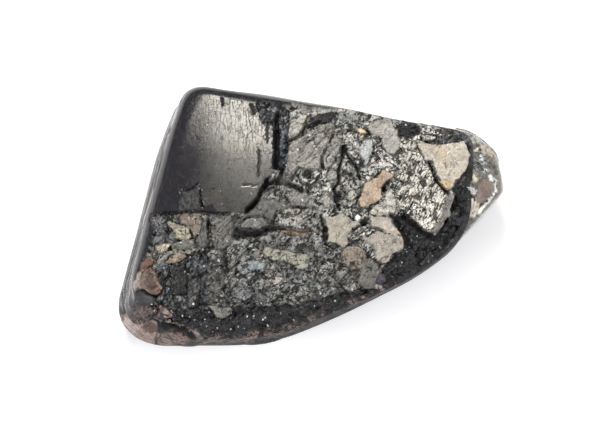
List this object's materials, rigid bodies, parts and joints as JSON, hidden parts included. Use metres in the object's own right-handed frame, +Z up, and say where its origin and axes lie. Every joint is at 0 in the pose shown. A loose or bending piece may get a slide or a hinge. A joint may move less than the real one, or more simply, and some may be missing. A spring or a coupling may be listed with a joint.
{
  "type": "tumbled smoky quartz stone",
  "caption": "Loose tumbled stone, dark and glassy, with a flat polished broken face, a grooved side wall and a rounded clear smoky end, resting on a flat underside.",
  "frame": {"origin": "middle of the bounding box at the bottom, on the surface that the stone rests on", "axes": "+Z up through the polished face, +X along the stone towards its clear smoky end, +Y towards the long straight edge"},
  "size_m": [0.0398, 0.0264, 0.014],
  "materials": {
    "stone": "polished"
  },
  "bodies": {
    "root": {"stone": "stone"}
  },
  "joints": []
}
